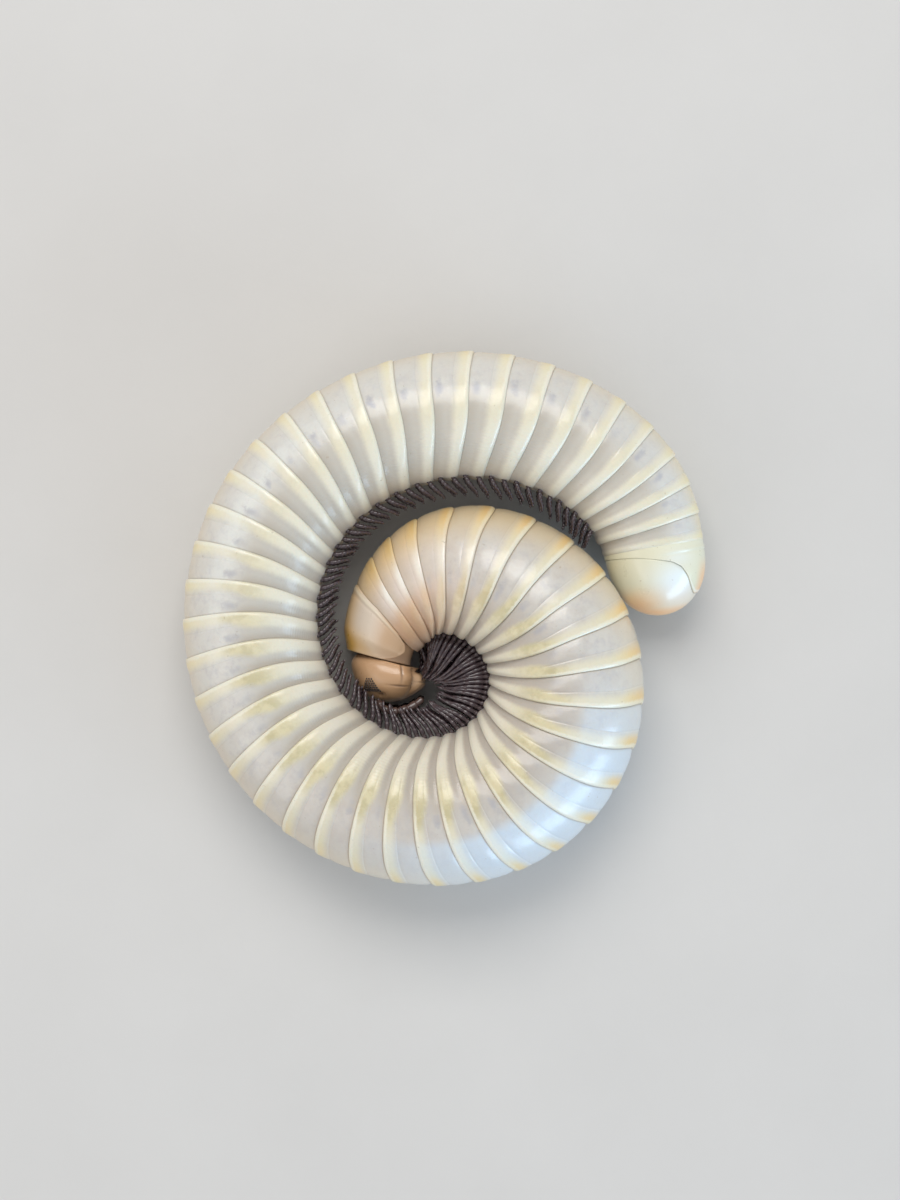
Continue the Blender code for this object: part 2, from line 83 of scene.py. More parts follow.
# A ring from front to hind edge: place, then height over half the body's diameter, on the back of the inner
# whorl, the back of the outer whorl, the belly of the inner whorl and the belly of the outer whorl
RING_RELIEF = (
    (-0.030, 0.957, 0.964, 0.930, 0.930),
    (0.000, 0.964, 0.969, 0.937, 0.938),
    (0.020, 0.970, 0.972, 0.939, 0.940),
    (0.050, 0.976, 0.975, 0.940, 0.941),
    (0.100, 0.982, 0.978, 0.941, 0.941),
    (0.150, 0.986, 0.980, 0.944, 0.941),
    (0.200, 0.989, 0.9815, 0.950, 0.942),
    (0.250, 0.991, 0.982, 0.957, 0.944),
    (0.300, 0.992, 0.983, 0.965, 0.947),
    (0.350, 0.993, 0.9835, 0.973, 0.952),
    (0.400, 0.9938, 0.984, 0.980, 0.959),
    (0.450, 0.9944, 0.984, 0.986, 0.967),
    (0.500, 0.9946, 0.984, 0.990, 0.975),
    (0.530, 0.994, 0.9835, 0.992, 0.980),
    (0.550, 0.9928, 0.9825, 0.993, 0.983),
    (0.565, 0.9916, 0.9812, 0.994, 0.985),
    (0.580, 0.9924, 0.982, 0.995, 0.987),
    (0.595, 0.9952, 0.985, 0.996, 0.989),
    (0.620, 0.9965, 0.987, 0.9975, 0.992),
    (0.660, 0.9975, 0.989, 0.999, 0.996),
    (0.700, 0.9985, 0.991, 1.0, 0.999),
    (0.750, 0.9994, 0.9935, 1.0, 1.0),
    (0.790, 0.9998, 0.9955, 0.999, 1.0),
    (0.830, 1.0, 0.9975, 0.997, 0.999),
    (0.865, 1.0, 0.999, 0.993, 0.997),
    (0.900, 0.9993, 0.9998, 0.990, 0.992),
    (0.930, 0.9975, 0.9998, 0.986, 0.984),
    (0.955, 0.994, 0.9985, 0.981, 0.974),
    (0.975, 0.989, 0.9955, 0.973, 0.964),
    (0.988, 0.984, 0.991, 0.964, 0.955),
    (0.996, 0.979, 0.985, 0.952, 0.947),
    (0.998, 0.973, 0.978, 0.940, 0.940),
    (0.995, 0.967, 0.972, 0.935, 0.935),
    (0.982, 0.961, 0.966, 0.931, 0.931),
    (0.968, 0.956, 0.962, 0.928, 0.928),
)
# Rings over which the inner whorl's relief gives way to the outer whorl's
BACK_CHANGE = (17, 25)
BELLY_CHANGE = (26, 34)
# Painted shade on the relief's first and last rows, which lie tucked under the lips
FRONT_DARK = (1.0, 0.5, 0.15)
HIND_DARK = (0.1, 0.4, 0.8, 1.0)
# How far the rings' edges bow towards the tail, in ring lengths: ring, then at each angle from the mid back
BOW_ANGLES = (0, 35, 70, 100, 130, 160)
RING_BOW = (
    (1, 0.05, -0.05, -0.15, -0.45, -0.75, -0.75),
    (2, 0.20, 0.05, -0.10, -0.15, -0.30, -0.30),
    (3, 0.10, 0.00, -0.05, 0.10, 0.40, 0.50),
    (5, 0.15, 0.05, 0.15, 0.50, 1.00, 1.20),
    (8, 0.25, 0.25, 0.35, 0.65, 0.85, 0.95),
    (16, 0.30, 0.55, 0.90, 1.15, 1.25, 0.95),
    (21, 0.30, 0.50, 0.75, 0.90, 0.80, 0.40),
    (28, 0.30, 0.35, 0.50, 0.60, 0.50, 0.25),
    (34, 0.20, 0.25, 0.25, 0.20, 0.00, -0.25),
    (39, 0.10, 0.05, -0.05, -0.10, -0.28, -0.48),
    (45, 0.10, 0.10, 0.15, 0.20, 0.12, -0.03),
    (49, 0.00, 0.00, 0.00, 0.00, 0.00, 0.00),
)

# Camera straight above: its height, and the height and centre of what it sees at one level
CAMERA_HEIGHT = 175.0
VIEW_LEVEL = 5.0
VIEW_HEIGHT = 81.6
VIEW_CENTRE = (0.23, 1.19)
SENSOR_WIDTH = 36.0
# Lights: name, place, aim, size, power, colour
LIGHTS = (
    ("key", (-0.03, 0.24, 0.34), (0, 0, 0), (0.30, 0.22), 1.0, (1.0, 0.98, 0.94)),
    ("sky_side", (0.30, -0.26, 0.085), (0.005, -0.004, 0.006), (0.40, 0.16), 1.1, (0.55, 0.77, 1.0)),
    ("fill", (-0.30, -0.18, 0.22), (0, 0, 0), (0.30, 0.30), 0.32, (1.0, 0.95, 0.9)),
)
FLOOR_HALF = 1.5
FLOOR_SINK = 0.00002

UP = np.array([0.0, 0.0, 1.0])


def natural_cubic(xs, ys):
    """Returns a function that runs smoothly through the points."""
    xs = np.array(xs, float)
    ys = np.array(ys, float)
    step = np.diff(xs)
    slope = np.diff(ys) / step
    matrix = np.eye(len(xs))
    right = np.zeros(len(xs))
    for i in range(1, len(xs) - 1):
        matrix[i, i - 1 : i + 2] = step[i - 1], 2 * (step[i - 1] + step[i]), step[i]
        right[i] = 6 * (slope[i] - slope[i - 1])
    bend = np.linalg.solve(matrix, right)

    def value(x):
        i = np.clip(np.searchsorted(xs, x) - 1, 0, len(xs) - 2)
        t = x - xs[i]
        curve = (bend[i + 1] - bend[i]) / (6 * step[i])
        start = slope[i] - step[i] * (2 * bend[i] + bend[i + 1]) / 6
        return ys[i] + t * (start + t * (bend[i] / 2 + t * curve))

    return value


def smooth(x):
    """Eases from 0 at x = 0 to 1 at x = 1, for numbers and arrays."""
    x = np.clip(x, 0.0, 1.0)
    return x * x * (3 - 2 * x)


def hill(*offsets):
    """A rounded hill: 1 where every offset is 0, and near 0 where one is past 2."""
    return np.exp(-sum(offset**2 for offset in offsets))


def off_back(angle):
    """Degrees from the mid back on either flank, for an angle counted right round the body."""
    return np.abs((angle + 180) % 360 - 180)


class Body:
    """The body's course, as in the solids, for whole arrays of places."""

    def __init__(self):
        columns = list(zip(*STATIONS))
        turns = columns[0]
        distance, diameter, pitch, lean, roll = [natural_cubic(turns, c) for c in columns[1:]]
        self.turn = np.arange(turns[0], turns[-1] + GRID_STEP, GRID_STEP)
        direction = np.radians(START_DIRECTION - self.turn)
        axis = distance(self.turn)[:, None] * np.stack([np.cos(direction), np.sin(direction)], 1)
        axis += np.array(SPIRAL_CENTRE)
        tail = np.gradient(axis, axis=0)
        tail /= np.linalg.norm(tail, axis=1)[:, None]
        square = np.stack([-tail[:, 1], tail[:, 0]], 1)
        self.radius = diameter(self.turn) / 2
        back_line = axis + square * self.radius[:, None]
        self.angle = np.unwrap(np.arctan2(square[:, 1], square[:, 0])) - np.radians(lean(self.turn))
        back = np.stack([np.cos(self.angle), np.sin(self.angle)], 1)
        self.centre = back_line - back * self.radius[:, None]
        self.roll = roll(self.turn)
        lengths = np.linalg.norm(np.diff(back_line, axis=0), axis=1)
        steps = lengths / (diameter(self.turn) * pitch(self.turn))[1:]
        count = np.concatenate([[0], np.cumsum(steps)])
        ends = np.interp((COLLUM_EDGE, LAST_EDGE), self.turn, count)
        self.edges = np.interp(np.linspace(*ends, RING_COUNT), count, self.turn)
        rings, *columns = zip(*RING_BOW)
        self.bows = [natural_cubic(rings, column) for column in columns]
        # The angles go on mirrored past the mid back and the mid belly, so the bow runs smoothly over both
        near, far = BOW_ANGLES[1:3], BOW_ANGLES[-2:]
        knots = [-a for a in near[::-1]] + list(BOW_ANGLES) + [360 - a for a in far[::-1]]
        sources = [2, 1, 0, 1, 2, 3, 4, 5, 5, 4]
        self.shares = [natural_cubic(knots, [float(s == j) for s in sources]) for j in range(len(BOW_ANGLES))]

    def bow(self, place, angle):
        """Shift of the rings towards the tail at a place counted in rings, in ring lengths."""
        ring, off = np.clip(place, 1, RING_COUNT), off_back(angle)
        return sum(bow(ring) * share(off) for bow, share in zip(self.bows, self.shares))

    def ring_turn(self, place, angle):
        """Turn of a place counted in rings, at an angle from the mid back."""
        place = place + self.bow(place, angle)
        first, last = self.edges[1] - self.edges[0], self.edges[-1] - self.edges[-2]
        turn = np.interp(place, np.arange(RING_COUNT) + 1.0, self.edges)
        return turn + first * np.minimum(place - 1, 0) + last * np.maximum(place - RING_COUNT, 0)

    def at(self, values, turn):
        return np.interp(turn, self.turn, values)

    def frames(self, turn):
        """Centre, direction to the back, direction to the tail and radius, for an array of turns."""
        angle = self.at(self.angle, turn)
        back = np.stack([np.cos(angle), np.sin(angle), np.zeros_like(angle)], -1)
        tail = np.stack([back[..., 1], -back[..., 0], np.zeros_like(angle)], -1)
        radius = self.at(self.radius, turn)
        flat = [self.at(self.centre[:, column], turn) for column in (0, 1)]
        return np.stack([*flat, radius - FLAT_DEPTH], -1), back, tail, radius

    def frame_at(self, turn):
        """The same four for one turn."""
        return [values[0] for values in self.frames(np.array([turn]))]

    def skin(self, turn, angle, factor):
        """Points over the skin: angle from the mid back over the left flank, and a factor on the radius."""
        centre, back, _, radius = self.frames(turn)
        phi = np.radians(angle + self.at(self.roll, turn))
        reach = (radius * factor)[..., None]
        point = centre + reach * (np.cos(phi)[..., None] * back + np.sin(phi)[..., None] * UP)
        point[..., 2] = np.maximum(point[..., 2], 0.0)
        return point


BODY = Body()


def closed_mesh(name, points, faces, values):
    """A smooth mesh from points and faces, with named values per point."""
    data = bpy.data.meshes.new(name)
    data.from_pydata((points * MM).tolist(), [], faces)
    for key, value in values.items():
        layer = data.attributes.new(key, "FLOAT", "POINT")
        layer.data.foreach_set("value", value.astype(np.float32))
    mesh = bmesh.new()
    mesh.from_mesh(data)
    bmesh.ops.recalc_face_normals(mesh, faces=mesh.faces)
    mesh.to_mesh(data)
    mesh.free()
    data.shade_smooth()
    return data


def tube_faces(rows, sides, base=0):
    """Point numbers of a tube, rows by sides, and the four-sided faces between its rows."""
    index = np.arange(rows * sides).reshape(rows, sides) + base
    low, high = index[:-1], index[1:]
    quads = np.stack([low, np.roll(low, -1, 1), np.roll(high, -1, 1), high], -1)
    return index, quads.reshape(-1, 4).tolist()


def grid_mesh(name, points, values):
    """A closed tube from points, rows by sides, with a cone on each end and named values per point."""
    rows, sides, _ = points.shape
    index, faces = tube_faces(rows, sides)
    for row, tip in ((index[0][::-1], rows * sides), (index[-1], rows * sides + 1)):
        faces += [[tip, int(a), int(b)] for a, b in zip(row, np.roll(row, -1))]
    tips = np.stack([points[0].mean(0), points[-1].mean(0)])
    spread = {key: np.broadcast_to(value, (rows, sides)) for key, value in values.items()}
    spread = {key: np.append(value, [0.0, 0.0]) for key, value in spread.items()}
    return closed_mesh(name, np.concatenate([points.reshape(-1, 3), tips]), faces, spread)


def merged(name, tubes):
    """One mesh from many closed tubes, each an array of points and the values that mark its joints."""
    points, faces, marks = [], [], []
    base = 0
    for tube, joint in tubes:
        rows, sides, _ = tube.shape
        index, quads = tube_faces(rows, sides, base)
        faces += [*quads, index[0][::-1].tolist(), index[-1].tolist()]
        points.append(tube.reshape(-1, 3))
        marks.append(joint.ravel())
        base += rows * sides
    return closed_mesh(name, np.concatenate(points), faces, {"joint": np.concatenate(marks)})


def add_piece(name, data, material, nodes=()):
    """A piece that rides on the still body, and the nodes of the solids that it replaces."""
    thing = bpy.data.objects.new(name, data)
    bpy.context.scene.collection.objects.link(thing)
    data.materials.append(material)
    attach(thing, "root")
    if nodes:
        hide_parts(*nodes)


class Graph:
    """Short names for the shader nodes of one material."""

    def __init__(self, name):
        self.material = bpy.data.materials.new(name)
        self.material.use_nodes = True
        self.tree = self.material.node_tree
        self.shader = self.tree.nodes["Principled BSDF"]

    def link(self, value, socket):
        if isinstance(value, bpy.types.NodeSocket):
            self.tree.links.new(value, socket)
        elif isinstance(value, tuple) and len(value) == 3 and socket.type == "RGBA":
            socket.default_value = (*value, 1.0)
        else:
            socket.default_value = value

    def value(self, name):
        node = self.tree.nodes.new("ShaderNodeAttribute")
        node.attribute_name = name
        return node.outputs["Fac"]

    def place(self):
        return self.tree.nodes.new("ShaderNodeTexCoord").outputs["Object"]

    def math(self, operation, a, b=0.0):
        node = self.tree.nodes.new("ShaderNodeMath")
        node.operation = operation
        for value, socket in zip((a, b), node.inputs):
            self.link(value, socket)
        return node.outputs[0]

    def vector(self, x, y, z):
        node = self.tree.nodes.new("ShaderNodeCombineXYZ")
        for value, socket in zip((x, y, z), node.inputs):
            self.link(value, socket)
        return node.outputs[0]

    def noise(self, vector, scale, detail=3.0, rough=0.5):
        node = self.tree.nodes.new("ShaderNodeTexNoise")
        self.link(vector, node.inputs["Vector"])
        node.inputs["Scale"].default_value = scale
        node.inputs["Detail"].default_value = detail
        node.inputs["Roughness"].default_value = rough
        return node.outputs["Fac"]

    def span(self, value, low, high, to_low=0.0, to_high=1.0):
        """Maps a range to another with soft ends."""
        node = self.tree.nodes.new("ShaderNodeMapRange")
        node.interpolation_type = "SMOOTHSTEP"
        sockets = ("Value", "From Min", "From Max", "To Min", "To Max")
        for key, number in zip(sockets, (value, low, high, to_low, to_high)):
            self.link(number, node.inputs[key])
        return node.outputs["Result"]

    def bell(self, value, middle, width):
        """1 at the middle, easing to 0 at a width from it."""
        off = self.math("ABSOLUTE", self.math("SUBTRACT", value, middle))
        return self.span(off, 0.0, width, 1.0, 0.0)

    def times(self, *values):
        result = values[0]
        for value in values[1:]:
            result = self.math("MULTIPLY", result, value)
        return result

    def mix(self, factor, a, b):
        node = self.tree.nodes.new("ShaderNodeMix")
        node.data_type = "RGBA"
        factor_socket, first_colour, second_colour, mixed = 0, 6, 7, 2
        self.link(factor, node.inputs[factor_socket])
        self.link(a, node.inputs[first_colour])
        self.link(b, node.inputs[second_colour])
        return node.outputs[mixed]

    def bump(self, height, distance, strength, normal=None):
        node = self.tree.nodes.new("ShaderNodeBump")
        node.inputs["Strength"].default_value = strength
        node.inputs["Distance"].default_value = distance
        self.link(height, node.inputs["Height"])
        if normal is not None:
            self.link(normal, node.inputs["Normal"])
        return node.outputs["Normal"]

    def finish(self, colour, roughness, normal=None, coat=0.0, coat_roughness=0.1, glow=0.0):
        """The material with its colour and gloss. The glow is light that passes under the surface."""
        self.link(colour, self.shader.inputs["Base Color"])
        self.link(roughness, self.shader.inputs["Roughness"])
        self.shader.inputs["Coat Weight"].default_value = coat
        self.shader.inputs["Coat Roughness"].default_value = coat_roughness
        self.shader.inputs["Subsurface Weight"].default_value = glow
        self.shader.inputs["Subsurface Radius"].default_value = (1.0, 0.7, 0.5)
        self.shader.inputs["Subsurface Scale"].default_value = 0.0006
        if normal is not None:
            self.link(normal, self.shader.inputs["Normal"])
        return self.material


class RingFields:
    """Values over the ringed shells that their colours are mixed by.

    Along runs from 0 at a ring's hind edge to 1 at its front. Flank runs from 0 on the mid back to 1 on the
    mid belly, and below counts it from the line of the glands.
    """

    def __init__(self, g):
        self.along, self.flank, self.ring = g.value("along"), g.value("flank"), g.value("ring")
        self.depth = g.value("depth")
        self.place = g.place()
        self.cloud = g.noise(self.place, 900.0, 4.0, 0.6)
        self.fine = g.noise(self.place, 5000.0, 3.0, 0.6)
        self.blotch = g.noise(self.place, 260.0, 3.0, 0.55)
        self.patchy = g.span(g.noise(self.place, 620.0, 5.0, 0.65), 0.42, 0.66)
        stretched = g.vector(g.times(self.flank, 60.0), g.times(self.along, 2.5), self.ring)
        self.streak = g.noise(stretched, 1.6, 3.0, 0.6)
        wander = g.math("ADD", self.along, g.times(g.math("SUBTRACT", self.streak, 0.5), 0.10))
        self.wander = g.math("ADD", wander, g.times(g.math("SUBTRACT", self.cloud, 0.5), 0.06))

        lift = g.math("MULTIPLY", g.math("SUBTRACT", self.ring, 5.0), 0.0022)
        line = g.math("SUBTRACT", 0.465, g.math("MINIMUM", g.math("MAXIMUM", lift, 0.0), 0.085))
        self.below = g.math("SUBTRACT", self.flank, line)
        self.back = g.span(self.flank, 0.02, 0.23, 1.0, 0.0)
        self.crown = g.span(self.flank, 0.06, 0.32, 1.0, 0.0)
        self.belly = g.span(self.below, -0.02, 0.13)
        self.inner = g.span(self.ring, 22.0, 30.0, 1.0, 0.0)
        self.outer = g.span(self.ring, 22.0, 30.0)
        # Painted sky reflection: where a bluish sheen is painted on the upper flanks of rings 12 to 21
        lower_right = g.times(g.span(self.ring, 11.5, 14.0), g.span(self.ring, 17.5, 22.0, 1.0, 0.0))
        self.sky = g.times(lower_right, g.span(self.below, -0.12, -0.06, 1.0, 0.0))


def ring_grey(g, f):
    """Mottled grey of a ring's front: warmer on the back, browner beneath, with a painted bluish sky
    reflection on rings 12 to 21.
    """
    grey = g.mix(f.blotch, (0.55, 0.535, 0.51), (0.635, 0.61, 0.56))
    grey = g.mix(g.times(f.patchy, 0.42), grey, (0.48, 0.43, 0.375))
    grey = g.mix(g.times(f.outer, 0.6), grey, (0.64, 0.635, 0.60))
    mottle = g.span(g.noise(f.place, 1500.0, 5.0, 0.65), 0.46, 0.68)
    grey = g.mix(g.times(mottle, g.span(f.ring, 30.0, 36.0, 0.42, 0.25)), grey, (0.45, 0.435, 0.455))
    grey = g.mix(g.times(g.bell(f.ring, 21.0, 6.0), 0.5), grey, (0.55, 0.485, 0.42))
    grey = g.mix(g.times(f.crown, 0.6), grey, (0.64, 0.56, 0.43))
    grey = g.mix(g.times(f.back, 0.4), grey, (0.66, 0.52, 0.34))
    beneath = g.mix(g.span(f.ring, 17.0, 24.0), (0.46, 0.405, 0.35), (0.52, 0.485, 0.42))
    grey = g.mix(g.times(f.belly, 0.85), grey, beneath)
    dull = g.times(g.bell(f.ring, 13.0, 8.0), g.bell(f.below, 0.02, 0.16))
    grey = g.mix(g.times(dull, 0.75), grey, (0.42, 0.38, 0.335))
    # Painted sky reflection: the grey turns bluish where the sky would be mirrored
    return g.mix(g.times(f.sky, 0.6), grey, (0.56, 0.69, 0.82))


def ring_band(g, f):
    """Band of a ring's hind part: orange on the back, yellow beside it, olive on the flank, ivory beneath."""
    band = g.mix(f.streak, (0.66, 0.61, 0.46), (0.74, 0.70, 0.56))
    band = g.mix(g.times(f.outer, 0.5), band, (0.78, 0.75, 0.62))
    side = g.times(g.span(f.below, -0.07, 0.02), g.span(f.below, 0.08, 0.30, 1.0, 0.0))
    olive = g.mix(g.span(f.cloud, 0.40, 0.62), (0.64, 0.57, 0.35), (0.50, 0.44, 0.24))
    band = g.mix(g.times(side, g.span(f.ring, 26.0, 34.0, 0.8, 0.2)), band, olive)
    band = g.mix(g.times(f.crown, 0.75), band, g.mix(f.outer, (0.77, 0.64, 0.32), (0.80, 0.70, 0.36)))
    orange = g.math("ADD", g.times(g.span(f.ring, 12.0, 20.0, 1.0, 0.0), 0.45), 0.25)
    band = g.mix(g.times(f.back, orange), band, (0.78, 0.47, 0.15))
    # Painted sky reflection on the band
    band = g.mix(g.times(f.sky, g.span(f.flank, 0.08, 0.20), 0.55), band, (0.68, 0.77, 0.82))
    ivory = g.mix(f.outer, (0.71, 0.67, 0.57), (0.74, 0.715, 0.61))
    return g.mix(g.times(g.span(f.below, 0.10, 0.32), 0.9), band, ivory)


def ring_pattern(g, f):
    """One ring from front to hind edge: grey, a seam drawn with a painted highlight and painted shade, band
    and cream rim, with painted shade in the belly's valleys and towards the mid belly.
    """
    narrow = g.span(f.ring, 26.0, 34.0)
    reach = g.math("ADD", 0.38, g.times(f.belly, g.math("SUBTRACT", 0.26, g.times(narrow, 0.14))))
    in_band = g.span(f.wander, g.math("SUBTRACT", reach, 0.20), g.math("ADD", reach, 0.08), 1.0, 0.0)
    colour = g.mix(in_band, ring_grey(g, f), ring_band(g, f))
    rim = g.mix(g.times(f.back, 0.5), (0.80, 0.775, 0.66), (0.82, 0.67, 0.38))
    in_rim = g.span(f.wander, 0.075, 0.15, 1.0, 0.0)
    colour = g.mix(g.times(in_rim, g.span(f.belly, 0.0, 1.0, 0.7, 0.2)), colour, rim)
    # Painted highlight on the ridge beside the seam
    seam_highlight = g.times(g.bell(f.along, 0.405, 0.03), g.span(f.ring, 18.0, 22.0, 1.0, 0.35))
    colour = g.mix(g.times(seam_highlight, g.span(f.belly, 0.0, 1.0, 0.16, 0.0)), colour, (0.82, 0.80, 0.72))
    # Painted shade in the seam's groove
    seam_shade = g.bell(f.along, 0.435, 0.016)
    colour = g.mix(g.times(seam_shade, g.span(f.belly, 0.0, 1.0, 0.10, 0.02)), colour, (0.42, 0.37, 0.29))
    # Painted shade in the valleys on the belly
    valley_shade = g.times(g.span(f.along, 0.64, 0.92), f.belly)
    colour = g.mix(g.times(valley_shade, g.span(f.ring, 20.0, 26.0, 0.22, 0.42)), colour, (0.40, 0.35, 0.29))
    # Painted shade towards the mid belly
    return g.mix(g.times(g.span(f.flank, 0.82, 0.98), 0.35), colour, (0.42, 0.37, 0.35))


def along_body(g, f, colour):
    """What changes from head to tail: tan front rings with a painted highlight, brown backs, a painted sheen
    on rings 27 to 39, and yellow hind rings.
    """
    tan = g.mix(g.span(f.flank, 0.12, 0.36), (0.74, 0.50, 0.21), (0.72, 0.61, 0.53))
    tan = g.mix(g.times(g.span(f.along, 0.35, 0.85), 0.5), tan, (0.56, 0.43, 0.30))
    rusty = g.times(g.span(f.below, -0.08, 0.06), g.span(f.blotch, 0.4, 0.6, 0.6, 1.0))
    tan = g.mix(rusty, tan, (0.70, 0.44, 0.27))
    colour = g.mix(g.times(g.span(f.ring, 3.0, 8.0, 1.0, 0.0), 0.8), colour, tan)
    foremost = g.span(f.ring, 3.0, 7.0, 1.0, 0.0)
    # Painted highlight on the upper flank of the first rings
    painted_gleam = g.times(g.bell(f.below, -0.12, 0.14), g.span(f.wander, 0.12, 0.42, 1.0, 0.0), foremost)
    colour = g.mix(g.times(painted_gleam, 0.8), colour, (0.90, 0.86, 0.79))
    # Painted sheen on the upper flank of rings 27 to 39
    painted_sheen = g.times(g.bell(f.flank, 0.37, 0.13), g.bell(f.ring, 33.0, 6.0))
    painted_sheen = g.times(painted_sheen, g.span(f.patchy, 0.0, 1.0, 1.0, 0.4), 0.5)
    colour = g.mix(painted_sheen, colour, (0.80, 0.83, 0.80))
    tanned = g.times(g.span(f.flank, 0.08, 0.30, 1.0, 0.0), g.bell(f.ring, 7.0, 4.0))
    tanned = g.times(tanned, g.span(f.along, 0.25, 0.45), 0.65)
    colour = g.mix(tanned, colour, (0.58, 0.45, 0.26))
    hind = g.times(g.span(f.ring, 42.0, 48.0), g.span(f.flank, 0.05, 0.32, 0.5, 0.0))
    return g.mix(hind, colour, (0.82, 0.70, 0.40))


def ring_marks(g, f, colour):
    """Painted shade as a thin brown line in the crease at a ring's front, smudges at the glands, specks, and
    painted shade in the grooves between rings.
    """
    # Painted shade in the crease where a ring's front tucks under the lip before it
    crease_shade = g.times(g.bell(f.along, 0.985, 0.03), g.span(f.belly, 0.0, 1.0, 0.40, 0.05))
    crease_shade = g.times(crease_shade, g.span(f.inner, 0.0, 1.0, 0.5, 1.0))
    colour = g.mix(crease_shade, colour, (0.44, 0.32, 0.19))
    drift = g.times(g.math("SUBTRACT", f.patchy, 0.5), 0.05)
    beside = g.math("DIVIDE", g.math("ADD", f.below, drift), 0.05)
    ahead = g.math("DIVIDE", g.math("SUBTRACT", f.along, 0.80), 0.17)
    apart = g.math("SQRT", g.math("ADD", g.times(beside, beside), g.times(ahead, ahead)))
    gland = g.times(g.span(apart, 0.1, 1.1, 1.0, 0.0), g.span(f.ring, 4.5, 5.5))
    stronger = g.times(g.bell(f.ring, 40.0, 7.0), 0.35)
    strength = g.math("ADD", stronger, g.span(f.blotch, 0.38, 0.62, 0.12, 0.5))
    colour = g.mix(g.times(gland, strength), colour, (0.34, 0.35, 0.41))
    speck = g.span(g.noise(f.place, 2600.0, 2.0, 0.7), 0.70, 0.77)
    colour = g.mix(g.times(speck, 0.4), colour, (0.36, 0.28, 0.18))
    colour = g.mix(g.times(g.span(f.fine, 0.45, 0.8), 0.10), colour, (0.42, 0.36, 0.30))
    # Painted shade on the rows tucked under the lips, stronger on the back of the rings before 15
    dark = g.math("ADD", g.times(f.back, g.span(f.ring, 11.0, 15.0, 0.45, 0.15)), 0.25)
    return g.mix(g.times(f.depth, dark), colour, (0.34, 0.26, 0.18))


def shell_material():
    """The ringed shell: its colours, lengthwise lines on the lower flank, and a fine uneven surface."""
    g = Graph("ring_shell")
    f = RingFields(g)
    colour = ring_marks(g, f, along_body(g, f, ring_pattern(g, f)))
    lines = g.math("SINE", g.times(f.flank, 420.0))
    normal = g.bump(g.times(lines, g.span(f.flank, 0.45, 0.70)), 0.000006, 0.5)
    normal = g.bump(f.fine, 0.00001, 0.5, normal)
    normal = g.bump(f.cloud, 0.00005, 0.5, normal)
    rough = g.math("ADD", 0.26, g.times(f.cloud, 0.16))
    return g.finish(colour, rough, normal, coat=0.42, coat_roughness=0.16, glow=0.25)


def plate_material(name, base, tint, edge_colour, lobe_tint_and_sky_sheen=None):
    """Smooth plate of collum, head or tail: base colour, tints by place, a painted highlight on raised rims
    and beads, a painted sky reflection on the tail, and painted shade in hollows and seams.
    """
    g = Graph(name)
    place = g.place()
    cloud = g.noise(place, 800.0, 4.0, 0.6)
    fine = g.noise(place, 5200.0, 3.0, 0.6)
    colour = g.mix(g.times(cloud, 0.25), base, edge_colour)
    # The second tint: the collum's lobes, and on the tail a painted sky reflection
    if lobe_tint_and_sky_sheen:
        colour = g.mix(g.times(g.value("lobe_tint_and_sky_sheen"), 0.8), colour, lobe_tint_and_sky_sheen)
    colour = g.mix(g.value("tint"), colour, tint)
    # Painted highlight on raised rims and beads
    colour = g.mix(g.value("edge"), colour, edge_colour)
    speck = g.span(g.noise(place, 2400.0, 2.0, 0.7), 0.68, 0.76)
    colour = g.mix(g.times(speck, 0.45), colour, (0.30, 0.18, 0.10))
    # Painted shade in hollows, seams and tucked edges
    colour = g.mix(g.times(g.value("depth"), 0.85), colour, (0.09, 0.05, 0.035))
    normal = g.bump(fine, 0.00001, 0.5)
    normal = g.bump(cloud, 0.00004, 0.5, normal)
    rough = g.math("ADD", 0.22, g.times(cloud, 0.16))
    return g.finish(colour, rough, normal, coat=0.4, coat_roughness=0.1)


def limb_material(name, dark, pale):
    """Dark horny limb with paler joints."""
    g = Graph(name)
    place = g.place()
    cloud = g.noise(place, 1500.0, 4.0, 0.6)
    colour = g.mix(cloud, dark, pale)
    colour = g.mix(g.times(g.value("joint"), 0.4), colour, (0.12, 0.08, 0.08))
    normal = g.bump(g.noise(place, 6000.0, 3.0, 0.6), 0.00001, 0.5)
    return g.finish(colour, g.math("ADD", 0.20, g.times(cloud, 0.14)), normal, coat=0.6, coat_roughness=0.10)


def eye_material():
    """Black, shining lenses."""
    g = Graph("eye_lens")
    colour = g.mix(g.noise(g.place(), 3000.0, 2.0, 0.5), (0.008, 0.006, 0.006), (0.03, 0.02, 0.018))
    return g.finish(colour, 0.12, coat=0.6, coat_roughness=0.05)


